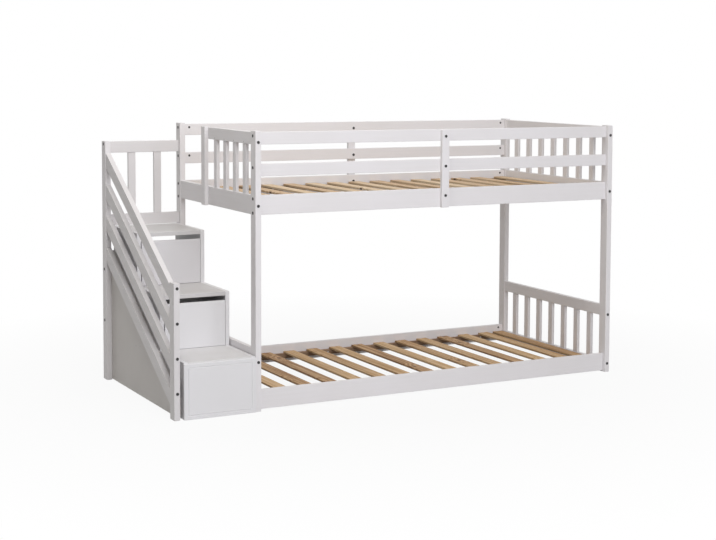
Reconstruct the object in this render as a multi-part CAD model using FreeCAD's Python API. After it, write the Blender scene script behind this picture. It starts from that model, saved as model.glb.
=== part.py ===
import FreeCAD, Part
import math
import os

# Bunk bed with storage stairs, in millimetres.
# The bed runs along X, the stairs stand at its left end and climb towards the back (+Y), and +Z is up.
# The origin is on the floor, under the middle of the whole object.

# Driving dimensions: the bed.
bed_length = 2000.0
bed_width = 1056.0
post_height = 1296.0
post_thick = 28.0
post_deep = 57.0
rail_thick = 22.0
long_rail_recess = 20.0
end_rail_recess = 3.0
side_rail_high = 90.0
guard_rail_high = 57.0
lower_rail_bottom = 7.0
upper_rail_top = 1000.0
guard_top_below_post = 6.0
guard_mid_bottom = 1087.0
foot_rail_bottom = 295.0
left_board_bottom = 170.0
left_board_high = 120.0

# Driving dimensions: stiles, spindles and slats.
stile_wide = 40.0
stile_thick = 20.0
stile_overhang = 3.0
entry_stile_wide = 48.0
entry_stile_far_edge = 650.0
spindle_wide = 38.0
spindle_thick = 16.0
spindle_pitch = 122.5
first_spindle_in = 94.0
tenon_long = 15.0
tenon_shoulder = 3.0
slat_wide = 63.0
slat_thick = 10.0
slat_below_rail_top = 36.0
slat_end_gap = 2.5
upper_slat_pitch = 129.0
upper_slat_first = 37.5
upper_slat_last = 8.0
lower_slat_pitch = 136.0
lower_slat_first = 9.0
lower_slat_last = 5.0
cleat_deep = 22.0
cleat_high = 26.0
cleat_screw_count = 6

# Driving dimensions: the stairs.
stair_width = 392.5
stair_front_post_height = 622.0
stair_back_post_height = 1209.0
stair_rail_recess = 3.0
stair_rail_wide = 63.0
stair_rail_count = 4
handrail_below_front_post = 16.0
handrail_below_back_post = 59.0
lowest_rail_up = 57.0
panel_thick = 17.5
panel_set_back = 40.0
panel_off_floor = 5.0
panel_below_rail_top = 25.0
step_rise = 260.0
first_step_run = 318.0
step_run = 331.0
side_board_thick = 20.0
tread_thick = 20.0
tread_screw_shares = (0.15, 0.5, 0.85)
shelf_deep = 350.0
bed_gap = 2.0
stair_guard_below_post = 2.0
stair_guard_rail_high = 57.0
stair_guard_slat_count = 2
stair_guard_slat_pitch = 135.0
stair_guard_slat_right = 113.0
guard_board_above_step = 2.0
back_board_bottom = 274.5
back_board_high = 317.0

# Driving dimensions: the drawers.
drawer_deep = 340.0
drawer_travel = 280.0
drawer_wall = 12.0
drawer_box_high = 155.0
drawer_bottom_thick = 5.0
drawer_bottom_up = 8.0
drawer_bottom_in = 5.0
drawer_side_gap = 4.0
front_thick = 16.0
front_reveal_left = 4.0
front_reveal_right = 1.5
front_above_shelf = 1.0
finger_slot_high = 22.0
front_groove_down = 18.0
front_groove_high = 1.5
front_groove_deep = 1.0
box_above_front_edge = 3.0
overlay_thick = 15.0
overlay_left = 4.0
overlay_off_floor = 2.0
overlay_below_tread = 4.0
overlay_box_up = 20.0
border_side = 18.0
border_top = 16.0
border_groove_wide = 5.0
border_groove_flat = 1.0
border_groove_deep = 2.5
runner_thick = 10.0
runner_high = 16.0
runner_past_travel = 30.0
runner_up = 60.0
runner_set_back = 24.0

# Driving dimensions: the fasteners.
bolt_radius = 3.0
bolt_head_radius = 7.0
bolt_head_high = 1.7
bolt_socket = 4.0
socket_sides = 6
bolt_socket_deep = 3.0
bolt_past_nut = 8.0
nut_radius = 6.0
nut_long = 18.0
nut_from_post = 28.0
nut_recess = 2.0
sleeve_radius = 4.3
sleeve_long = 14.0
screw_radius = 1.75
screw_head_radius = 3.5
screw_head_high = 2.5
spindle_screw_long = 14.0

# Clearances and small edges.
moving_gap = 0.3
bolt_clearance = 0.25
bolt_hole_spare = 2.0
mortise_clearance = 0.2
edge_round = 2.0
slat_round = 1.5

# Where the bolts stand.
guard_bolt_down = 17.0
side_bolt_down = 16.0
side_bolt_up = 8.5
guard_end_bolt_up = 11.0
upper_end_bolt_up = 42.0
foot_bolt_up = 8.5
stile_guard_bolt_up = 23.0
stile_side_bolt_up = 56.0
stair_rail_bolt_in = 8.0
stair_guard_bolt_down = 12.0
back_board_bolt_in = 28.5
panel_screw_places = ((560.0, 244.0), (620.0, 237.0))

# Main planes.
front_reach = overlay_thick + moving_gap
stair_left = -(stair_width + bed_length) / 2
bed_left = stair_left + stair_width
bed_right = bed_left + bed_length
bed_front = front_reach - (front_reach + bed_width + bolt_head_high) / 2
bed_back = bed_front + bed_width
left_inner = bed_left + post_thick
right_inner = bed_right - post_thick
front_inner = bed_front + post_deep
back_inner = bed_back - post_deep
front_rail_y = (bed_front + long_rail_recess, bed_front + long_rail_recess + rail_thick)
back_rail_y = (bed_back - long_rail_recess - rail_thick, bed_back - long_rail_recess)
left_rail_x = (bed_left + end_rail_recess, bed_left + end_rail_recess + rail_thick)
right_rail_x = (bed_right - end_rail_recess - rail_thick, bed_right - end_rail_recess)

# Heights of the bed's rails.
upper_side_z = (upper_rail_top - side_rail_high, upper_rail_top)
lower_side_z = (lower_rail_bottom, lower_rail_bottom + side_rail_high)
guard_top_z = (post_height - guard_top_below_post - guard_rail_high, post_height - guard_top_below_post)
guard_mid_z = (guard_mid_bottom, guard_mid_bottom + guard_rail_high)
foot_rail_z = (foot_rail_bottom, foot_rail_bottom + guard_rail_high)
foot_bottom_rail_z = (lower_side_z[0], lower_side_z[1] - slat_below_rail_top)
left_board_z = (left_board_bottom, left_board_bottom + left_board_high)

# Main planes of the stairs.
stair_post_x = (stair_left, stair_left + post_thick)
stair_rail_x = (stair_left + stair_rail_recess, stair_post_x[1])
panel_x = (stair_post_x[1], stair_post_x[1] + panel_thick)
left_board_x = (panel_x[1], panel_x[1] + side_board_thick)
right_board_x = (bed_left - bed_gap - side_board_thick, bed_left - bed_gap)
carcass_x = (left_board_x[1], right_board_x[0])
stair_back_y = (bed_back - (post_deep + rail_thick) / 2, bed_back - (post_deep - rail_thick) / 2)
runner_long = drawer_travel + runner_past_travel
step_fronts = [bed_front, bed_front + first_step_run, bed_front + first_step_run + step_run]
tread_tops = [step_rise, 2 * step_rise, 3 * step_rise]

bolts = []
barrel_nuts = []
sleeve_nuts = []
screws = []
cutters = []


def middle(pair):
    return (pair[0] + pair[1]) / 2


def box(x, y, z):
    corner = FreeCAD.Vector(x[0], y[0], z[0])
    return Part.makeBox(x[1] - x[0], y[1] - y[0], z[1] - z[0], corner)


def timber(x, y, z, round_by=edge_round):
    """A sawn length with eased edges."""
    solid = box(x, y, z)
    return solid.makeFillet(round_by, solid.Edges)


def board_from_side(outline, x, round_by=edge_round):
    """A flat board whose outline is drawn in Y and Z."""
    points = [FreeCAD.Vector(x[0], y, z) for y, z in outline]
    face = Part.Face(Part.makePolygon(points + [points[0]]))
    solid = face.extrude(FreeCAD.Vector(x[1] - x[0], 0, 0))
    return solid.makeFillet(round_by, solid.Edges)


def rod(start, direction, radius, length):
    return Part.makeCylinder(radius, length, start, direction)


def hexagon_socket(seat, direction):
    """The recess for a key, cut into a bolt's head along its axis."""
    side_ways = FreeCAD.Vector(0, 0, 1)
    other_ways = direction.cross(side_ways)
    corner_radius = bolt_socket / math.sqrt(3)
    top = seat - direction * bolt_head_high
    corners = []
    for step in range(socket_sides + 1):
        turn = math.radians(360 / socket_sides * step)
        corner = side_ways * math.cos(turn) + other_ways * math.sin(turn)
        corners.append(top + corner * corner_radius)
    return Part.Face(Part.makePolygon(corners)).extrude(direction * bolt_socket_deep)


def add_bolt(seat, direction, shank):
    """A flat-headed bolt whose head rests on the surface at seat."""
    head = rod(seat - direction * bolt_head_high, direction, bolt_head_radius, bolt_head_high)
    body = head.fuse(rod(seat, direction, bolt_radius, shank)).removeSplitter()
    bolts.append(body.cut(hexagon_socket(seat, direction)))
    cutters.append(rod(seat, direction, bolt_radius + bolt_clearance, shank + bolt_hole_spare))


def add_post_bolt(seat, direction, through, nut_side):
    """A bolt through a post into a rail's end, with its barrel nut let in from the rail's nut_side face."""
    reach = through + nut_from_post
    add_bolt(seat, direction, reach + bolt_past_nut)
    face = seat + direction * reach + nut_side * (rail_thick / 2)
    mouth = rod(face, nut_side * -1, nut_radius, nut_recess + nut_long)
    cutters.append(mouth)
    nut = rod(face - nut_side * nut_recess, nut_side * -1, nut_radius, nut_long)
    barrel_nuts.append(nut.cut(rod(seat, direction, bolt_radius, reach + 2 * nut_radius)))


def add_stile_bolt(seat, direction):
    """A bolt through a stile and a long rail, held by a flanged sleeve nut on the rail's inner face."""
    thickness = stile_thick + rail_thick
    inner = seat + direction * thickness
    back = direction * -1
    add_bolt(seat, direction, thickness - bolt_head_high)
    flange = rod(inner, direction, bolt_head_radius, bolt_head_high)
    sleeve = rod(inner, back, sleeve_radius, sleeve_long)
    cutters.append(sleeve)
    thread = rod(inner + direction * (-bolt_head_high), back, bolt_radius, thickness)
    sleeve_nuts.append(flange.fuse(sleeve).removeSplitter().cut(thread))


def add_screw(seat, direction, length):
    """A countersunk wood screw, flush with the surface at seat."""
    head = Part.makeCone(screw_head_radius, screw_radius, screw_head_high, seat, direction)
    screw = head.fuse(rod(seat, direction, screw_radius, length)).removeSplitter()
    screws.append(screw)
    cutters.append(screw)


def drilled(solid):
    """The solid with every bolt hole, nut seat and screw hole that reaches it."""
    for cutter in cutters:
        if solid.BoundBox.intersect(cutter.BoundBox):
            solid = solid.cut(cutter)
    return solid


along = FreeCAD.Vector(1, 0, 0)
across = FreeCAD.Vector(0, 1, 0)
upward = FreeCAD.Vector(0, 0, 1)


def spindle(x_middle, y_middle, z, wide_along_x=False):
    """An upright slat with a tenon at each end."""
    half_wide = spindle_wide / 2
    half_thick = spindle_thick / 2
    if wide_along_x:
        half_x, half_y = half_wide, half_thick
    else:
        half_x, half_y = half_thick, half_wide
    body = timber((x_middle - half_x, x_middle + half_x), (y_middle - half_y, y_middle + half_y), z)
    x = (x_middle - half_x + tenon_shoulder, x_middle + half_x - tenon_shoulder)
    y = (y_middle - half_y + tenon_shoulder, y_middle + half_y - tenon_shoulder)
    return body.fuse(box(x, y, (z[0] - tenon_long, z[1] + tenon_long))).removeSplitter()


def mortises(rail, pieces):
    """The rail with a mortise for each spindle's tenon."""
    side_in = tenon_shoulder - mortise_clearance
    for piece in pieces:
        bounds = piece.BoundBox
        x = (bounds.XMin + side_in, bounds.XMax - side_in)
        y = (bounds.YMin + side_in, bounds.YMax - side_in)
        rail = rail.cut(box(x, y, (bounds.ZMin - mortise_clearance, bounds.ZMax + mortise_clearance)))
    return rail


def bed_posts():
    """Four posts, named by the corner where each stands."""
    z = (0, post_height)
    posts = {}
    for end, x in (("left", (bed_left, left_inner)), ("right", (right_inner, bed_right))):
        posts["front_" + end + "_post"] = timber(x, (bed_front, front_inner), z)
        posts["back_" + end + "_post"] = timber(x, (back_inner, bed_back), z)
    return posts


def long_rails():
    """Two guard rails and two side rails on each long side of the bed."""
    rails = {}
    heights = {
        "guard_top_rail": guard_top_z,
        "guard_mid_rail": guard_mid_z,
        "upper_side_rail": upper_side_z,
        "lower_side_rail": lower_side_z,
    }
    for side, y in (("front_", front_rail_y), ("back_", back_rail_y)):
        for name, z in heights.items():
            rails[side + name] = timber((left_inner, right_inner), y, z)
    return rails


def centre_stiles():
    """An upright strip on the outer face of the rails, half way along each side."""
    x = (middle((bed_left, bed_right)) - stile_wide / 2, middle((bed_left, bed_right)) + stile_wide / 2)
    z = (upper_side_z[0] - stile_overhang, guard_top_z[1] - stile_overhang)
    return {
        "front_centre_stile": timber(x, (front_rail_y[0] - stile_thick, front_rail_y[0]), z),
        "back_centre_stile": timber(x, (back_rail_y[1], back_rail_y[1] + stile_thick), z),
    }


def left_end():
    """The end by the stairs: a short guard beside the way in, an end rail and a low board."""
    y = (front_inner, back_inner)
    far_edge = bed_front + entry_stile_far_edge
    guard_y = (front_inner, far_edge)
    spindle_z = (upper_side_z[1], guard_top_z[0])
    room = far_edge - entry_stile_wide - front_inner - first_spindle_in - spindle_wide / 2
    count = 1 + int(room // spindle_pitch)
    screw_z = guard_top_z[0] + tenon_long / 2
    spindles = []
    for number in range(count):
        y_middle = front_inner + first_spindle_in + number * spindle_pitch
        spindles.append(spindle(middle(left_rail_x), y_middle, spindle_z))
        add_screw(FreeCAD.Vector(left_rail_x[0], y_middle, screw_z), along, spindle_screw_long)
    stile_x = (left_rail_x[0] - stile_thick, left_rail_x[0])
    stile_y = (far_edge - entry_stile_wide, far_edge)
    stile_z = (upper_side_z[0] - stile_overhang, guard_top_z[1] + stile_overhang)
    for z in (middle(upper_side_z), middle(guard_top_z)):
        for shift in (-entry_stile_wide / 4, entry_stile_wide / 4):
            seat = FreeCAD.Vector(left_rail_x[1], middle(stile_y) + shift, z)
            add_screw(seat, along * -1, rail_thick + stile_thick / 2)
    return {
        "left_guard_top_rail": mortises(timber(left_rail_x, guard_y, guard_top_z), spindles),
        "left_guard_spindles": spindles,
        "left_entry_stile": timber(stile_x, stile_y, stile_z),
        "left_upper_end_rail": mortises(timber(left_rail_x, y, upper_side_z), spindles),
        "left_lower_end_board": timber(left_rail_x, y, left_board_z),
    }


def spindle_row(z):
    """Spindles across the bed's whole width, with the same gap at both ends."""
    room = back_inner - front_inner - spindle_wide
    count = int(room // spindle_pitch)
    first = middle((front_inner, back_inner)) - (count - 1) * spindle_pitch / 2
    places = [first + number * spindle_pitch for number in range(count)]
    screw_z = z[1] + tenon_long / 2
    for y_middle in places:
        add_screw(FreeCAD.Vector(right_rail_x[1], y_middle, screw_z), along * -1, spindle_screw_long)
    return [spindle(middle(right_rail_x), y_middle, z) for y_middle in places]


def right_end():
    """The far end: a full guard above and a footboard below."""
    y = (front_inner, back_inner)
    upper = spindle_row((upper_side_z[1], guard_top_z[0]))
    lower = spindle_row((foot_bottom_rail_z[1], foot_rail_z[0]))
    return {
        "right_guard_top_rail": mortises(timber(right_rail_x, y, guard_top_z), upper),
        "right_guard_spindles": upper,
        "right_upper_end_rail": mortises(timber(right_rail_x, y, upper_side_z), upper),
        "footboard_top_rail": mortises(timber(right_rail_x, y, foot_rail_z), lower),
        "footboard_spindles": lower,
        "footboard_bottom_rail": mortises(timber(right_rail_x, y, foot_bottom_rail_z), lower),
    }


def cleats(rail_z):
    """The two ledges that carry one bunk's slats, with the screws that hold them."""
    top = rail_z[1] - slat_below_rail_top - slat_thick
    z = (top - cleat_high, top)
    x = (left_inner, right_inner)
    front_y = (front_rail_y[1], front_rail_y[1] + cleat_deep)
    back_y = (back_rail_y[0] - cleat_deep, back_rail_y[0])
    for number in range(cleat_screw_count):
        x_here = x[0] + (number + 0.5) * (x[1] - x[0]) / cleat_screw_count
        add_screw(FreeCAD.Vector(x_here, front_y[1], middle(z)), across * -1, cleat_deep + rail_thick / 2)
        add_screw(FreeCAD.Vector(x_here, back_y[0], middle(z)), across, cleat_deep + rail_thick / 2)
    return [timber(x, front_y, z), timber(x, back_y, z)]


def slats(rail_z, left_edges):
    """One bunk's slats, each screwed to the ledge at both ends."""
    top = rail_z[1] - slat_below_rail_top
    y = (front_rail_y[1] + slat_end_gap, back_rail_y[0] - slat_end_gap)
    screw_long = slat_thick + cleat_high / 2
    row = []
    for left_edge in left_edges:
        row.append(timber((left_edge, left_edge + slat_wide), y, (top - slat_thick, top), slat_round))
        for y_here in (front_rail_y[1] + cleat_deep / 2, back_rail_y[0] - cleat_deep / 2):
            seat = FreeCAD.Vector(left_edge + slat_wide / 2, y_here, top)
            add_screw(seat, upward * -1, screw_long)
    return row


def slat_edges(first_in, pitch, last_in):
    """Slats' left edges: evenly spaced from the left, with one last slat close to the right end."""
    last = right_inner - last_in - slat_wide
    first = left_inner + first_in
    count = int((last - slat_wide - first) // pitch) + 1
    return [first + number * pitch for number in range(count)] + [last]


def bolt_bed_frame():
    """Every bolt through the four posts, and through the centre stiles.

    The short guard by the stairs ends at its own stile, so the post behind it has no guard bolt.
    """
    long_heights = [guard_top_z[1] - guard_bolt_down, guard_mid_z[1] - guard_bolt_down]
    for z in (upper_side_z, lower_side_z):
        long_heights += [z[1] - side_bolt_down, z[0] + side_bolt_up]
    guard_height = guard_top_z[0] + guard_end_bolt_up
    upper_height = upper_side_z[0] + upper_end_bolt_up
    left_heights = [upper_height, middle(left_board_z)]
    right_heights = [guard_height, upper_height]
    right_heights += [foot_rail_z[0] + foot_bolt_up, foot_bottom_rail_z[1] - side_bolt_down]
    front = (bed_front, across, front_rail_y)
    back = (bed_back, across * -1, back_rail_y)
    corners = (
        (bed_left, along, left_rail_x, front, left_heights + [guard_height]),
        (bed_left, along, left_rail_x, back, left_heights),
        (bed_right, along * -1, right_rail_x, front, right_heights),
        (bed_right, along * -1, right_rail_x, back, right_heights),
    )
    for x_face, inward_x, end_rail_x, (y_face, inward_y, rail_y), end_heights in corners:
        for z in long_heights:
            add_post_bolt(FreeCAD.Vector(x_face, middle(rail_y), z), inward_x, post_thick, inward_y)
        for z in end_heights:
            add_post_bolt(FreeCAD.Vector(middle(end_rail_x), y_face, z), inward_y, post_deep, along)
    stile_heights = [guard_top_z[0] + stile_guard_bolt_up, guard_mid_z[0] + stile_guard_bolt_up]
    stile_heights.append(upper_side_z[0] + stile_side_bolt_up)
    for z in stile_heights:
        x = middle((bed_left, bed_right))
        add_stile_bolt(FreeCAD.Vector(x, front_rail_y[0] - stile_thick, z), across)
        add_stile_bolt(FreeCAD.Vector(x, back_rail_y[1] + stile_thick, z), across * -1)


# The stairs' sloped rails, as lines in Y and Z.
handrail_front_z = stair_front_post_height - handrail_below_front_post
handrail_back_z = stair_back_post_height - handrail_below_back_post
stair_slope = (handrail_back_z - handrail_front_z) / (back_inner - front_inner)
stair_rail_upright = stair_rail_wide * math.sqrt(1 + stair_slope ** 2)
stair_rail_drop = (handrail_front_z - lowest_rail_up - stair_rail_upright) / (stair_rail_count - 1)


def stair_rail_top(number, y):
    """Height of a sloped rail's top edge, counted from the handrail down."""
    return handrail_front_z - number * stair_rail_drop + (y - front_inner) * stair_slope


def stair_posts():
    return {
        "stair_front_post": timber(stair_post_x, (bed_front, front_inner), (0, stair_front_post_height)),
        "stair_back_post": timber(stair_post_x, (back_inner, bed_back), (0, stair_back_post_height)),
    }


def sloped_rails():
    """The handrail and the rails under it, between the two stair posts."""
    rails = {}
    for number in range(stair_rail_count):
        outline = []
        for y in (front_inner, back_inner):
            outline.append((y, stair_rail_top(number, y)))
        for y in (back_inner, front_inner):
            outline.append((y, stair_rail_top(number, y) - stair_rail_upright))
        rails["stair_sloped_rail_" + str(number + 1)] = board_from_side(outline, stair_rail_x)
        front_z = stair_rail_top(number, front_inner) - stair_rail_bolt_in
        back_z = stair_rail_top(number, back_inner) - stair_rail_upright + stair_rail_bolt_in
        x = middle(stair_rail_x)
        add_stair_rail_bolt(FreeCAD.Vector(x, bed_front, front_z), across)
        add_stair_rail_bolt(FreeCAD.Vector(x, bed_back, back_z), across * -1)
    return rails


def add_stair_rail_bolt(seat, direction):
    """A bolt through a stair post into a sloped rail's end, its nut let in from the rail's inner face."""
    reach = post_deep + nut_from_post
    add_bolt(seat, direction, reach + bolt_past_nut)
    face = seat + direction * reach
    face.x = stair_rail_x[1]
    cutters.append(rod(face, along * -1, nut_radius, nut_recess + nut_long))
    nut = rod(face - along * nut_recess, along * -1, nut_radius, nut_long)
    barrel_nuts.append(nut.cut(rod(seat, direction, bolt_radius, reach + 2 * nut_radius)))


def side_panel():
    """The closed lower part of the stairs' outer side, with its top edge behind the lowest sloped rail."""
    front_y = bed_front + panel_set_back
    back_y = stair_back_y[0]
    outline = [(front_y, panel_off_floor), (back_y, panel_off_floor)]
    for y in (back_y, front_y):
        outline.append((y, stair_rail_top(stair_rail_count - 1, y) - panel_below_rail_top))
    for y_in, z in panel_screw_places:
        seat = FreeCAD.Vector(panel_x[0], bed_front + y_in, z)
        add_screw(seat, along, panel_thick + side_board_thick / 2)
    return board_from_side(outline, panel_x, slat_round)


def stepped_side_boards():
    """The two boards with the outline of the steps, which carry the treads and the drawers."""
    outline = [(stair_back_y[0], 0), (bed_front, 0)]
    for number, front in enumerate(step_fronts):
        if number > 0:
            outline.append((front, tread_tops[number - 1]))
        outline.append((front, tread_tops[number]))
    outline.append((stair_back_y[0], tread_tops[-1]))
    return {
        "stair_left_side_board": board_from_side(outline, left_board_x),
        "stair_right_side_board": board_from_side(outline, right_board_x),
    }


def treads():
    """Each tread runs on under the next step as the shelf over the drawer below."""
    boards = {}
    ends = [step_fronts[1] + shelf_deep, step_fronts[2] + shelf_deep, stair_back_y[0]]
    for number, front in enumerate(step_fronts):
        z = (tread_tops[number] - tread_thick, tread_tops[number])
        y = (front, min(ends[number], stair_back_y[0]))
        boards["stair_tread_" + str(number + 1)] = timber(carcass_x, y, z)
        for share in tread_screw_shares:
            y_here = y[0] + share * (y[1] - y[0])
            seat_left = FreeCAD.Vector(left_board_x[0], y_here, middle(z))
            seat_right = FreeCAD.Vector(right_board_x[1], y_here, middle(z))
            add_screw(seat_left, along, side_board_thick + tread_thick)
            add_screw(seat_right, along * -1, side_board_thick + tread_thick)
    return boards


def stair_back():
    """The guard across the back of the top step, and a plain board lower down."""
    x = (stair_post_x[1], bed_left)
    top = stair_back_post_height - stair_guard_below_post
    rail_z = (top - stair_guard_rail_high, top)
    board_bottom = tread_tops[-1] + guard_board_above_step
    board_z = (board_bottom, board_bottom + stair_guard_rail_high)
    back_z = (back_board_bottom, back_board_bottom + back_board_high)
    uprights = []
    for number in range(stair_guard_slat_count):
        x_here = bed_left - stair_guard_slat_right - number * stair_guard_slat_pitch
        uprights.append(spindle(x_here, middle(stair_back_y), (board_z[1], rail_z[0]), True))
    pieces = {
        "stair_guard_top_rail": mortises(timber(x, stair_back_y, rail_z), uprights),
        "stair_guard_slats": uprights,
        "stair_guard_board": mortises(timber(x, stair_back_y, board_z), uprights),
        "stair_back_board": timber(x, stair_back_y, back_z),
    }
    left_heights = [rail_z[1] - stair_guard_bolt_down]
    left_heights += [back_z[0] + back_board_bolt_in, back_z[1] - back_board_bolt_in]
    for z in left_heights:
        add_post_bolt(FreeCAD.Vector(stair_left, middle(stair_back_y), z), along, post_thick, across)
    for z in left_heights + [middle(board_z)]:
        add_post_bolt(FreeCAD.Vector(left_inner, middle(stair_back_y), z), along * -1, post_thick, across)
    return pieces


def drawer_levels():
    """For each drawer: its front's lower and upper edge, and its box's lower edge."""
    levels = [(overlay_off_floor, tread_tops[0] - overlay_below_tread, overlay_off_floor + overlay_box_up)]
    for number in (1, 2):
        low = tread_tops[number - 1] + front_above_shelf
        high = tread_tops[number] - tread_thick - finger_slot_high
        levels.append((low, high, low + box_above_front_edge))
    return levels


def drawer_runners():
    """Hardwood strips on the side boards, one pair for each drawer."""
    strips = []
    for front, (low, high, box_low) in zip(step_fronts, drawer_levels()):
        y = (front + runner_set_back, front + runner_set_back + runner_long)
        z = (box_low + runner_up, box_low + runner_up + runner_high)
        for x in ((carcass_x[0], carcass_x[0] + runner_thick), (carcass_x[1] - runner_thick, carcass_x[1])):
            strips.append(timber(x, y, z, slat_round))
        for y_here in (y[0] + runner_high, y[1] - runner_high):
            seat_left = FreeCAD.Vector(carcass_x[0] + runner_thick, y_here, middle(z))
            seat_right = FreeCAD.Vector(carcass_x[1] - runner_thick, y_here, middle(z))
            add_screw(seat_left, along * -1, runner_thick + side_board_thick / 2)
            add_screw(seat_right, along, runner_thick + side_board_thick / 2)
    return strips


def inset_front(front, low, high):
    """A plain front between the side boards, closer to the right one, with a fine groove near its top."""
    x = (carcass_x[0] + front_reveal_left, carcass_x[1] - front_reveal_right)
    panel = timber(x, (front, front + front_thick), (low, high))
    groove_top = high - front_groove_down
    groove = box(x, (front, front + front_groove_deep), (groove_top - front_groove_high, groove_top))
    return panel.cut(groove)


def overlay_front(low, high):
    """The lowest front, which lies over the side boards' edges, with a fine groove that frames its field."""
    x = (left_board_x[0] - overlay_left, right_board_x[1] - overlay_left + bed_gap)
    y = (bed_front - moving_gap - overlay_thick, bed_front - moving_gap)
    panel = timber(x, y, (low, high))
    groove_foot = y[0] + border_groove_deep
    outer_in = (border_groove_wide - border_groove_flat) / 2
    inner_in = (border_groove_wide + border_groove_flat) / 2
    outer = [border_outline(x, low, high, 0, y[0]), border_outline(x, low, high, outer_in, groove_foot)]
    inner = [border_outline(x, low, high, border_groove_wide, y[0])]
    inner.append(border_outline(x, low, high, inner_in, groove_foot))
    groove = Part.makeLoft(outer, True, True).cut(Part.makeLoft(inner, True, True))
    return panel.cut(groove)


def border_outline(x, low, high, inward, y):
    """A rectangle inside the lowest front's edges, at one depth."""
    left = x[0] + border_side + inward
    right = x[1] - border_side - inward
    bottom = low + border_top + inward
    top = high - border_top - inward
    corners = [(left, bottom), (right, bottom), (right, top), (left, top), (left, bottom)]
    return Part.makePolygon([FreeCAD.Vector(a, y, b) for a, b in corners])


def drawer(number, front, low, high, box_low):
    """A drawer: its front, its sides and back, and its bottom panel let into grooves."""
    if number == 1:
        face = overlay_front(low, high)
        box_front = front - moving_gap
    else:
        face = inset_front(front, low, high)
        box_front = front + front_thick
    box_back = front + drawer_deep
    outer = (carcass_x[0] + drawer_side_gap, carcass_x[1] - drawer_side_gap)
    inner = (outer[0] + drawer_wall, outer[1] - drawer_wall)
    z = (box_low, box_low + drawer_box_high)
    walls = [
        timber((outer[0], inner[0]), (box_front, box_back), z, slat_round),
        timber((inner[1], outer[1]), (box_front, box_back), z, slat_round),
        timber(inner, (box_back - drawer_wall, box_back), z, slat_round),
    ]
    groove_z = (box_low + runner_up - moving_gap, box_low + runner_up + runner_high + moving_gap)
    groove_y = (front + runner_set_back - moving_gap, box_back)
    deep = runner_thick - drawer_side_gap + moving_gap
    walls[0] = walls[0].cut(box((outer[0], outer[0] + deep), groove_y, groove_z))
    walls[1] = walls[1].cut(box((outer[1] - deep, outer[1]), groove_y, groove_z))
    bottom_x = (inner[0] - drawer_bottom_in, inner[1] + drawer_bottom_in)
    bottom_y = (box_front - drawer_bottom_in, box_back - drawer_wall + drawer_bottom_in)
    bottom_z = (box_low + drawer_bottom_up, box_low + drawer_bottom_up + drawer_bottom_thick)
    bottom = box(bottom_x, bottom_y, bottom_z)
    walls = [wall.cut(bottom) for wall in walls]
    name = "drawer_" + str(number)
    return {name + "_front": face.cut(bottom), name + "_box": walls, name + "_bottom": bottom}


def fixed_pieces():
    """Every piece of the bed and the stairs that doesn't move, with its fasteners."""
    pieces = {}
    pieces.update(bed_posts())
    pieces.update(long_rails())
    pieces.update(centre_stiles())
    pieces.update(left_end())
    pieces.update(right_end())
    pieces["upper_cleats"] = cleats(upper_side_z)
    pieces["lower_cleats"] = cleats(lower_side_z)
    upper_edges = slat_edges(upper_slat_first, upper_slat_pitch, upper_slat_last)
    lower_edges = slat_edges(lower_slat_first, lower_slat_pitch, lower_slat_last)
    pieces["upper_slats"] = slats(upper_side_z, upper_edges)
    pieces["lower_slats"] = slats(lower_side_z, lower_edges)
    pieces.update(stair_posts())
    pieces.update(sloped_rails())
    pieces["stair_side_panel"] = side_panel()
    pieces.update(stepped_side_boards())
    pieces.update(treads())
    pieces.update(stair_back())
    pieces["drawer_runners"] = drawer_runners()
    bolt_bed_frame()
    for name, shape in pieces.items():
        if isinstance(shape, list):
            pieces[name] = [drilled(solid) for solid in shape]
        else:
            pieces[name] = drilled(shape)
    pieces["frame_bolts"] = bolts
    pieces["barrel_nuts"] = barrel_nuts
    pieces["sleeve_nuts"] = sleeve_nuts
    pieces["wood_screws"] = screws
    return pieces


def all_pieces():
    pieces = fixed_pieces()
    for number, (front, level) in enumerate(zip(step_fronts, drawer_levels()), start=1):
        pieces.update(drawer(number, front, *level))
    return pieces


os.makedirs("parts", exist_ok=True)
for node_name, node_shape in all_pieces().items():
    if isinstance(node_shape, list):
        node_shape = Part.makeCompound(node_shape)
    node_shape.exportStep("parts/" + node_name + ".step")
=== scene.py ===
import bpy
import bmesh
import math
from mathutils import Matrix, Vector


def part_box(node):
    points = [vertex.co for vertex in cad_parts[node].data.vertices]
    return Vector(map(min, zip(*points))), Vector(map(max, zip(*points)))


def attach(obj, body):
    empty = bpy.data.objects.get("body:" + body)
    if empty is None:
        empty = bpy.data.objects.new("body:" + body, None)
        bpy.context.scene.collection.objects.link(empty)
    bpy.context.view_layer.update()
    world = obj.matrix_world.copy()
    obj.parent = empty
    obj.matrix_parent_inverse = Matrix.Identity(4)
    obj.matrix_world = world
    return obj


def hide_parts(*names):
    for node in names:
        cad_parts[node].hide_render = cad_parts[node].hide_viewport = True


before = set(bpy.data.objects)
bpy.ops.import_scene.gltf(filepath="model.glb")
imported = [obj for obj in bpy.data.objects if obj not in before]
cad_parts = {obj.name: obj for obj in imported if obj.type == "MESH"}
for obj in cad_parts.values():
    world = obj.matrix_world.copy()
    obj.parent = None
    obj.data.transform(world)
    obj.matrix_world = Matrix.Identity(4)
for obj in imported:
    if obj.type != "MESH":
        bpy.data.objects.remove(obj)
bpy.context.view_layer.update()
print("bed frame and stairs loaded:", len(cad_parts), "nodes")


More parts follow.
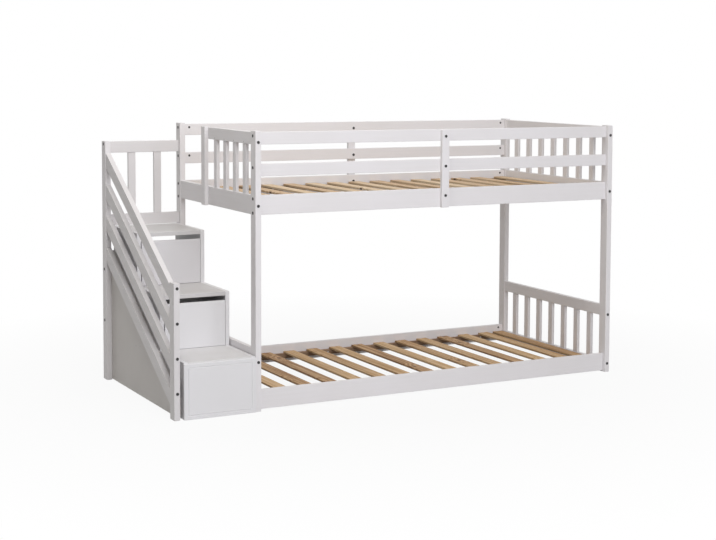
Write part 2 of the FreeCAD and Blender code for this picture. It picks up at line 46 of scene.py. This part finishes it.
class Wire:
    # one output of a node; arithmetic on it adds Math nodes
    def __init__(self, recipe, socket):
        self.recipe = recipe
        self.socket = socket

    def maths(self, operation, first, second):
        return self.recipe.add("ShaderNodeMath", {"operation": operation}, {0: first, 1: second})

    def __add__(self, other):
        return self.maths("ADD", self, other)

    def __radd__(self, other):
        return self.maths("ADD", other, self)

    def __sub__(self, other):
        return self.maths("SUBTRACT", self, other)

    def __rsub__(self, other):
        return self.maths("SUBTRACT", other, self)

    def __mul__(self, other):
        return self.maths("MULTIPLY", self, other)

    def __rmul__(self, other):
        return self.maths("MULTIPLY", other, self)


class Recipe:
    # the nodes of a material or of the world, and the ways to add more of them
    def __init__(self, owner):
        owner.use_nodes = True
        self.owner = owner
        self.tree = owner.node_tree
        self.paint = self.tree.nodes.get("Principled BSDF")

    def add(self, kind, settings=None, feeds=None, output=0):
        node = self.tree.nodes.new(kind)
        for key, value in (settings or {}).items():
            if key == "stops":
                self.setStops(node.color_ramp, value)
            else:
                setattr(node, key, value)
        for key, value in (feeds or {}).items():
            self.feed(node.inputs[key], value)
        return Wire(self, node.outputs[output])

    def setStops(self, ramp, stops):
        while len(ramp.elements) < len(stops):
            ramp.elements.new(0.5)
        for element, (place, tone) in zip(ramp.elements, stops):
            element.position = place
            element.color = tone

    def feed(self, socket, value):
        if isinstance(value, Wire):
            self.tree.links.new(value.socket, socket)
        else:
            socket.default_value = value

    def feedPaint(self, tint, rough, relief):
        self.feed(self.paint.inputs["Base Color"], tint)
        self.feed(self.paint.inputs["Roughness"], rough)
        self.feed(self.paint.inputs["Normal"], relief)

    def objectPoint(self):
        return self.add("ShaderNodeTexCoord", output="Object")

    def stretched(self, point, scale):
        return self.add("ShaderNodeMapping", None, {"Vector": point, "Scale": scale})

    def along(self, point, lengthAxis, across, lengthwise):
        scale = [across] * 3
        scale["XYZ".index(lengthAxis)] = lengthwise
        return self.stretched(point, scale)

    def noise(self, point, scale, detail, roughness=0.5):
        feeds = {"Vector": point, "Scale": scale, "Detail": detail, "Roughness": roughness}
        return self.add("ShaderNodeTexNoise", None, feeds)

    def remap(self, value, fromLow, fromHigh, toLow=0.0, toHigh=1.0):
        feeds = {"Value": value, "From Min": fromLow, "From Max": fromHigh}
        feeds.update({"To Min": toLow, "To Max": toHigh})
        return self.add("ShaderNodeMapRange", {"clamp": True}, feeds)

    def blendColours(self, share, first, second, how="MIX"):
        settings = {"data_type": "RGBA", "blend_type": how}
        return self.add("ShaderNodeMix", settings, {0: share, 6: first, 7: second}, output=2)

    def bump(self, height, strength, distance):
        feeds = {"Height": height, "Strength": strength, "Distance": distance}
        return self.add("ShaderNodeBump", None, feeds)

    def mixShaders(self, share, first, second):
        return self.add("ShaderNodeMixShader", None, {0: share, 1: first, 2: second})

    def ray(self, kind):
        return self.add("ShaderNodeLightPath", output=kind)

    def larger(self, first, second):
        return self.add("ShaderNodeMath", {"operation": "MAXIMUM"}, {0: first, 1: second})

    def seenDirectly(self):
        # 1 for what the camera sees, also in a reflection
        return self.larger(self.ray("Is Camera Ray"), self.ray("Is Glossy Ray"))


def colour(red, green, blue):
    return (red, green, blue, 1.0)


# Painted softwood: the grain shows faintly through the paint, along the length of each piece.
timberPaint = {
    "base": colour(0.758, 0.742, 0.758),
    "thin": colour(0.70, 0.68, 0.675),
    "mostThin": 0.55,
    "cloudScale": 3.0,
    "cloudDetail": 3.0,
    "cloudShare": 0.6,
    "acrossGrain": 90.0,
    "alongGrain": 3.0,
    "grainDetail": 5.0,
    "grainHarsh": 0.6,
    "grainShare": 0.4,
    "grainRange": (0.3, 0.7),
    "patchRange": (0.35, 0.68),
    "relief": 0.35,
    "reliefHeight": 0.00025,
    "roughRange": (0.36, 0.52),
}

# The stairs' rails, guard and short post have a slightly darker coat than the bed: painted shade.
stairTimberShadePaint = dict(timberPaint, base=colour(0.69, 0.672, 0.68), thin=colour(0.635, 0.615, 0.61))


def makeTimberPaint(name, lengthAxis, look=timberPaint):
    recipe = Recipe(bpy.data.materials.new(name))
    point = recipe.objectPoint()
    lengthwise = recipe.along(point, lengthAxis, look["acrossGrain"], look["alongGrain"])
    grain = recipe.noise(lengthwise, 1.0, look["grainDetail"], look["grainHarsh"])
    clouds = recipe.noise(point, look["cloudScale"], look["cloudDetail"])
    patches = recipe.remap(clouds * look["cloudShare"] + grain * look["grainShare"], *look["patchRange"])
    tint = recipe.blendColours(patches * look["mostThin"], look["base"], look["thin"])
    rough = recipe.remap(grain, *look["grainRange"], *look["roughRange"])
    recipe.feedPaint(tint, rough, recipe.bump(grain, look["relief"], look["reliefHeight"]))
    return recipe.owner


# Painted board: flatter than the timber, with a fine roller texture.
boardPaint = {
    "base": colour(0.74, 0.737, 0.752),
    "thin": colour(0.705, 0.70, 0.71),
    "mostThin": 0.6,
    "cloudScale": 2.2,
    "cloudDetail": 4.0,
    "cloudRange": (0.35, 0.65),
    "cloudShare": 0.5,
    "rollerScale": 900.0,
    "rollerDetail": 2.0,
    "rollerShare": 0.5,
    "mixedRange": (0.3, 0.7),
    "relief": 0.4,
    "reliefHeight": 0.00006,
    "roughRange": (0.34, 0.48),
}

# The uppermost drawer's front is painted a little darker than the other two: painted shade.
upperDrawerFrontShadePaint = dict(boardPaint, base=colour(0.66, 0.65, 0.665), thin=colour(0.62, 0.61, 0.62))

# The treads are painted a little darker than the fronts, the upper two the more so, which is painted shade;
# their coat is also rougher and more scuffed.
treadScuffAndShadePaint = dict(
    boardPaint,
    base=colour(0.68, 0.675, 0.68),
    thin=colour(0.63, 0.62, 0.62),
    cloudScale=5.0,
    roughRange=(0.36, 0.58),
)
highTreadScuffAndShadePaint = dict(treadScuffAndShadePaint, base=colour(0.59, 0.58, 0.58), thin=colour(0.55, 0.54, 0.535))

# The closed side panel has a darker, duller coat than the drawers and steps; the darker colour is painted
# shade.
sidePanelShadePaint = dict(
    boardPaint,
    base=colour(0.62, 0.595, 0.575),
    thin=colour(0.56, 0.535, 0.515),
    cloudScale=2.6,
    rollerScale=700.0,
    roughRange=(0.42, 0.56),
)


def makeBoardPaint(name, look=boardPaint):
    recipe = Recipe(bpy.data.materials.new(name))
    point = recipe.objectPoint()
    clouds = recipe.noise(point, look["cloudScale"], look["cloudDetail"])
    roller = recipe.noise(point, look["rollerScale"], look["rollerDetail"])
    patches = recipe.remap(clouds, *look["cloudRange"], 0.0, look["mostThin"])
    tint = recipe.blendColours(patches, look["base"], look["thin"])
    mixed = clouds * look["cloudShare"] + roller * look["rollerShare"]
    rough = recipe.remap(mixed, *look["mixedRange"], *look["roughRange"])
    recipe.feedPaint(tint, rough, recipe.bump(roller, look["relief"], look["reliefHeight"]))
    return recipe.owner


# Bare softwood: growth rings, fibres and knots, different on each board by its own tone and seed, and
# painted shade on the sides.
slatWood = {
    "pale": colour(0.76, 0.55, 0.32),
    "mid": colour(0.56, 0.355, 0.17),
    "dark": colour(0.31, 0.16, 0.07),
    "knot": colour(0.10, 0.045, 0.02),
    "edgeShade": 0.75,
    "midPlace": 0.55,
    "grainPull": 0.55,
    "tonePull": 0.5,
    "seedShift": (3.1, 7.7, 1.3),
    "ringScale": 46.0,
    "ringAlong": 0.7,
    "ringDetail": 2.0,
    "ringWaves": 260.0,
    "ringWander": 26.0,
    "ringRoundKnots": 14.0,
    "ringShare": 0.30,
    "fibreAcross": 700.0,
    "fibreAlong": 12.0,
    "fibreDetail": 3.0,
    "fibreShare": 0.95,
    "grainRange": (0.05, 0.85),
    "knotsPerMetre": 4.5,
    "knotStretch": 0.55,
    "knotSize": 0.045,
    "knotCore": 0.55,
    "swirlReach": 5.0,
    "levelRange": (0.1, 0.7),
    "relief": 0.5,
    "ringRelief": 0.3,
    "reliefHeight": 0.0004,
    "roughRange": (0.55, 0.75),
}

# The upper bunk's slats are painted paler, with less painted shade on their sides: painted light.
upperSlatWoodPaintedLight = dict(
    slatWood,
    pale=colour(0.80, 0.65, 0.46),
    mid=colour(0.66, 0.48, 0.30),
    dark=colour(0.44, 0.27, 0.14),
    edgeShade=0.85,
)

# The ledges under the slats are painted darker, which is painted shade, with fewer knots.
cleatWoodPaintedShade = dict(
    slatWood,
    pale=colour(0.42, 0.28, 0.17),
    mid=colour(0.28, 0.17, 0.10),
    dark=colour(0.16, 0.09, 0.05),
    knotsPerMetre=2.5,
)


def ownPoint(recipe, look):
    # the object's point, moved by the board's seed so that no two boards show the same wood
    seed = recipe.add("ShaderNodeAttribute", {"attribute_name": "pieceSeed"}, output="Fac")
    moves = {axis: seed * shift for axis, shift in zip("XYZ", look["seedShift"])}
    shifted = recipe.add("ShaderNodeCombineXYZ", None, moves)
    return recipe.add("ShaderNodeVectorMath", {"operation": "ADD"}, {0: recipe.objectPoint(), 1: shifted})


def makeBareWood(name, lengthAxis, look=slatWood):
    recipe = Recipe(bpy.data.materials.new(name))
    own = ownPoint(recipe, look)
    tone = recipe.add("ShaderNodeAttribute", {"attribute_name": "pieceTone"}, output="Fac")
    cells = recipe.add(
        "ShaderNodeTexVoronoi",
        {"voronoi_dimensions": "2D"},
        {"Vector": recipe.along(own, lengthAxis, 1.0, look["knotStretch"]), "Scale": look["knotsPerMetre"]},
    )
    size = look["knotSize"]
    knot = recipe.remap(cells, size * look["knotCore"], size, 1.0, 0.0)
    swirl = recipe.remap(cells, 0.0, size * look["swirlReach"], 1.0, 0.0)
    ringPoint = recipe.along(own, lengthAxis, look["ringScale"], look["ringAlong"])
    wander = recipe.noise(ringPoint, 1.0, look["ringDetail"])
    across = recipe.add("ShaderNodeSeparateXYZ", None, {0: own}, output=1 - "XYZ".index(lengthAxis))
    turn = across * look["ringWaves"] + wander * look["ringWander"] + swirl * look["ringRoundKnots"]
    rings = recipe.add("ShaderNodeMath", {"operation": "SINE"}, {0: turn})
    fibrePoint = recipe.along(own, lengthAxis, look["fibreAcross"], look["fibreAlong"])
    fibre = recipe.noise(fibrePoint, 1.0, look["fibreDetail"])
    grain = recipe.remap(rings * look["ringShare"] + fibre * look["fibreShare"], *look["grainRange"])
    stops = [(0.0, look["pale"]), (look["midPlace"], look["mid"]), (1.0, look["dark"])]
    depth = grain * look["grainPull"] + tone * look["tonePull"]
    wood = recipe.add("ShaderNodeValToRGB", {"stops": stops}, {0: depth})
    knotted = recipe.blendColours(knot, wood, look["knot"])
    # faces that don't point up are darkened by edgeShade: painted shade on the sides of each board
    facing = recipe.add("ShaderNodeNewGeometry", output="Normal")
    level = recipe.add("ShaderNodeSeparateXYZ", None, {0: facing}, output="Z")
    flatTop = recipe.remap(level * level, *look["levelRange"])
    sidesPaintedShade = recipe.blendColours(1.0 - flatTop, knotted, colour(*[look["edgeShade"]] * 3), "MULTIPLY")
    rough = recipe.remap(grain, 0.0, 1.0, *look["roughRange"])
    relief = recipe.bump(fibre + rings * look["ringRelief"], look["relief"], look["reliefHeight"])
    recipe.feedPaint(sidesPaintedShade, rough, relief)
    return recipe.owner


# Dark coated steel of the bolts and nuts.
darkSteel = {
    "base": colour(0.035, 0.034, 0.036),
    "worn": colour(0.10, 0.095, 0.09),
    "scale": 300.0,
    "detail": 4.0,
    "wornRange": (0.45, 0.75),
    "speckleRange": (0.3, 0.7),
    "roughRange": (0.35, 0.5),
    "metallic": 0.6,
    "relief": 0.2,
    "reliefHeight": 0.00005,
}

# Bright zinc of the wood screws.
zincSteel = dict(
    darkSteel,
    base=colour(0.42, 0.42, 0.43),
    worn=colour(0.55, 0.54, 0.52),
    scale=500.0,
    roughRange=(0.3, 0.45),
    metallic=1.0,
)


def makeMetal(name, look):
    recipe = Recipe(bpy.data.materials.new(name))
    speckle = recipe.noise(recipe.objectPoint(), look["scale"], look["detail"])
    tint = recipe.blendColours(recipe.remap(speckle, *look["wornRange"]), look["base"], look["worn"])
    rough = recipe.remap(speckle, *look["speckleRange"], *look["roughRange"])
    recipe.paint.inputs["Metallic"].default_value = look["metallic"]
    recipe.feedPaint(tint, rough, recipe.bump(speckle, look["relief"], look["reliefHeight"]))
    return recipe.owner


finishes = {
    "timberX": makeTimberPaint("paintedTimberAlongX", "X"),
    "timberY": makeTimberPaint("paintedTimberAlongY", "Y"),
    "timberZ": makeTimberPaint("paintedTimberAlongZ", "Z"),
    "board": makeBoardPaint("paintedBoard"),
    "stairTimberX": makeTimberPaint("stairTimberPaintedShadeAlongX", "X", stairTimberShadePaint),
    "stairTimberY": makeTimberPaint("stairTimberPaintedShadeAlongY", "Y", stairTimberShadePaint),
    "stairTimberZ": makeTimberPaint("stairTimberPaintedShadeAlongZ", "Z", stairTimberShadePaint),
    "highFront": makeBoardPaint("upperDrawerFrontPaintedShade", upperDrawerFrontShadePaint),
    "tread": makeBoardPaint("lowestTreadScuffAndPaintedShade", treadScuffAndShadePaint),
    "highTread": makeBoardPaint("upperTreadsScuffAndPaintedShade", highTreadScuffAndShadePaint),
    "panel": makeBoardPaint("sidePanelPaintedShade", sidePanelShadePaint),
    "bareUpper": makeBareWood("bareUpperSlatsPaintedLight", "Y", upperSlatWoodPaintedLight),
    "bareLower": makeBareWood("bareLowerSlats", "Y"),
    "bareCleat": makeBareWood("bareCleatsPaintedShade", "X", cleatWoodPaintedShade),
    "darkSteel": makeMetal("darkCoatedSteel", darkSteel),
    "zincSteel": makeMetal("zincSteel", zincSteel),
}
print("finishes mixed:", len(finishes))

# Pieces with a finish of their own; other drawer pieces are board, and the rest is painted timber.
ownFinish = {
    "frame_bolts": "darkSteel",
    "barrel_nuts": "darkSteel",
    "sleeve_nuts": "darkSteel",
    "wood_screws": "zincSteel",
    "stair_side_panel": "panel",
    "stair_left_side_board": "board",
    "stair_right_side_board": "board",
    "stair_back_board": "board",
    "stair_tread_1": "tread",
    "stair_tread_2": "highTread",
    "stair_tread_3": "highTread",
    "drawer_3_front": "highFront",
}
uprightWords = ("post", "stile", "spindles", "guard_slats")


def finishFor(name):
    if name in ownFinish:
        return ownFinish[name]
    if name.startswith("drawer_"):
        return "board"
    coat = "timber"
    if name.startswith("stair_") and name != "stair_back_post":
        coat = "stairTimber"
    if any(word in name for word in uprightWords):
        return coat + "Z"
    low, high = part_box(name)
    size = high - low
    if size.x >= size.y:
        return coat + "X"
    return coat + "Y"


for nodeName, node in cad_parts.items():
    node.data.materials.clear()
    node.data.materials.append(finishes[finishFor(nodeName)])
print("painted pieces dressed")


# Slats, cleats and runners are bare wood: copies of the CAD solids, with a tone and a seed for each board.
bareBoards = {
    "upper_slats": {"finish": "bareUpper", "seed": 3},
    "lower_slats": {"finish": "bareLower", "seed": 8},
    "upper_cleats": {"finish": "bareCleat", "seed": 5},
    "lower_cleats": {"finish": "bareCleat", "seed": 9},
    "drawer_runners": {"finish": "bareLower", "seed": 4},
}
weldReach = 0.000005
scatter = {"perBoard": 12.9898, "perSeed": 4.1, "spread": 43758.5453, "seedReach": 5.0}


def boardsOf(shell):
    # the vertices of each separate board, from left to right
    # ledges and runners that start at the same x come in any order
    left = set(shell.verts)
    groups = []
    while left:
        front = [left.pop()]
        group = list(front)
        while front:
            vertex = front.pop()
            for edge in vertex.link_edges:
                other = edge.other_vert(vertex)
                if other in left:
                    left.remove(other)
                    group.append(other)
                    front.append(other)
        groups.append(group)
    return sorted(groups, key=lambda group: min(round(v.co.x, 3) for v in group))


def shareOf(number, seed):
    # a share between 0 and 1 that looks random, and follows from the board's number and the seed
    turn = math.sin(scatter["perBoard"] * (number + 1) + scatter["perSeed"] * seed) * scatter["spread"]
    return turn - math.floor(turn)


def dressBareBoards(nodeName, look):
    shell = bmesh.new()
    shell.from_mesh(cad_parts[nodeName].data)
    bmesh.ops.remove_doubles(shell, verts=shell.verts, dist=weldReach)
    toneLayer = shell.verts.layers.float.new("pieceTone")
    seedLayer = shell.verts.layers.float.new("pieceSeed")
    for number, board in enumerate(boardsOf(shell)):
        share = shareOf(number, look["seed"])
        for vertex in board:
            vertex[toneLayer] = share
            vertex[seedLayer] = share * scatter["seedReach"] + number
    mesh = bpy.data.meshes.new(nodeName + "Bare")
    shell.to_mesh(mesh)
    shell.free()
    mesh.materials.clear()
    mesh.materials.append(finishes[look["finish"]])
    piece = bpy.data.objects.new(nodeName + "Bare", mesh)
    bpy.context.scene.collection.objects.link(piece)
    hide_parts(nodeName)
    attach(piece, "bed_and_stairs")


for nodeName, look in bareBoards.items():
    dressBareBoards(nodeName, look)
print("slats, cleats and runners dressed in bare wood")


# The room's floor: pale, and seen brighter the farther it is from the bed, until it is white.
floorLook = {
    "reach": 40.0,
    "tone": 0.55,
    "rough": 0.9,
    "glowRange": (0.915, 1.0),
    "fadeRange": (1.0, 2.8),
}


def makeFloor():
    shell = bmesh.new()
    bmesh.ops.create_grid(shell, x_segments=1, y_segments=1, size=floorLook["reach"])
    mesh = bpy.data.meshes.new("studioFloor")
    shell.to_mesh(mesh)
    shell.free()
    floor = bpy.data.objects.new("studioFloor", mesh)
    bpy.context.scene.collection.objects.link(floor)
    recipe = Recipe(bpy.data.materials.new("paleFloor"))
    recipe.paint.inputs["Base Color"].default_value = colour(*[floorLook["tone"]] * 3)
    recipe.paint.inputs["Roughness"].default_value = floorLook["rough"]
    recipe.paint.inputs["Specular IOR Level"].default_value = 0.0
    away = recipe.add(
        "ShaderNodeVectorMath", {"operation": "LENGTH"}, {0: recipe.objectPoint()}, output="Value"
    )
    glow = recipe.add("ShaderNodeEmission", None, {"Color": colour(1.0, 1.0, 1.0), "Strength": 1.0})
    share = recipe.remap(away, *floorLook["fadeRange"], *floorLook["glowRange"])
    matt = Wire(recipe, recipe.paint.outputs[0])
    mixed = recipe.mixShaders(recipe.seenDirectly() * share, matt, glow)
    recipe.feed(recipe.tree.nodes["Material Output"].inputs["Surface"], mixed)
    mesh.materials.append(recipe.owner)


# The surround: soft light on the bed, and plain white for the camera and for reflections.
studioAir = {"ambient": 0.36, "tint": colour(1.0, 0.968, 0.92), "seen": 1.0}


def makeSurround():
    world = bpy.data.worlds.new("studioAir")
    bpy.context.scene.world = world
    recipe = Recipe(world)
    recipe.tree.nodes.remove(recipe.tree.nodes["Background"])
    seen = recipe.larger(recipe.seenDirectly(), recipe.ray("Is Transmission Ray"))
    softFeeds = {"Color": studioAir["tint"], "Strength": studioAir["ambient"]}
    soft = recipe.add("ShaderNodeBackground", None, softFeeds)
    whiteFeeds = {"Color": colour(1.0, 1.0, 1.0), "Strength": studioAir["seen"]}
    white = recipe.add("ShaderNodeBackground", None, whiteFeeds)
    mixed = recipe.mixShaders(seen, soft, white)
    recipe.feed(recipe.tree.nodes["World Output"].inputs["Surface"], mixed)


lamps = {
    "frontLamp": {
        "place": (-0.6, -6.2, 3.4),
        "aim": (0.2, 0.0, 0.5),
        "size": 4.0,
        "power": 241.0,
        "tint": (0.95, 0.955, 1.0),
    },
    "topLamp": {
        "place": (0.6, 0.1, 4.6),
        "aim": (0.5, 0.0, 0.8),
        "size": 3.0,
        "power": 28.0,
        "tint": (1.0, 1.0, 1.0),
    },
    "leftLamp": {
        "place": (-1.6, -1.2, 3.7),
        "aim": (-0.9, 0.1, 0.9),
        "size": 1.2,
        "power": 34.0,
        "tint": (1.0, 0.972, 0.93),
    },
}


def hangLamps():
    for name, lamp in lamps.items():
        light = bpy.data.lights.new(name, "AREA")
        light.shape = "SQUARE"
        light.size = lamp["size"]
        light.energy = lamp["power"]
        light.color = lamp["tint"]
        body = bpy.data.objects.new(name, light)
        body.location = lamp["place"]
        towards = Vector(lamp["aim"]) - Vector(lamp["place"])
        body.rotation_euler = towards.to_track_quat("-Z", "Y").to_euler()
        bpy.context.scene.collection.objects.link(body)


# The camera, solved from the photo's parallel edges; pixels are counted in its 716 by 540 frame.
viewpoint = {
    "place": (-3.45235, -6.8705, 1.5984),
    "turn": 29.4714,
    "down": 4.1272,
    "roll": 0.4228,
    "focalPixels": 1503.0,
    "centrePixel": (435.0, 174.2),
    "framePixels": (716, 540),
    "sensor": 36.0,
    "farClip": 200.0,
}


def placeCamera():
    turn = math.radians(viewpoint["turn"])
    down = math.radians(viewpoint["down"])
    roll = math.radians(viewpoint["roll"])
    ahead = Vector((math.sin(turn) * math.cos(down), math.cos(turn) * math.cos(down), -math.sin(down)))
    level = Vector((math.cos(turn), -math.sin(turn), 0.0))
    above = level.cross(ahead)
    right = math.cos(roll) * level + math.sin(roll) * above
    up = math.cos(roll) * above - math.sin(roll) * level
    wide, high = viewpoint["framePixels"]
    centreX, centreY = viewpoint["centrePixel"]
    lens = bpy.data.cameras.new("photoCamera")
    lens.sensor_width = viewpoint["sensor"]
    lens.sensor_fit = "HORIZONTAL"
    lens.lens = viewpoint["focalPixels"] / wide * viewpoint["sensor"]
    lens.shift_x = (wide / 2 - centreX) / wide
    lens.shift_y = (centreY - high / 2) / wide
    lens.clip_end = viewpoint["farClip"]
    camera = bpy.data.objects.new("photoCamera", lens)
    axes = Matrix((right, up, -ahead)).transposed().to_4x4()
    camera.matrix_world = Matrix.Translation(viewpoint["place"]) @ axes
    bpy.context.scene.collection.objects.link(camera)
    bpy.context.scene.camera = camera


makeFloor()
makeSurround()
hangLamps()
placeCamera()
bpy.context.scene.view_settings.view_transform = "Standard"
print("room, lamps and camera set")
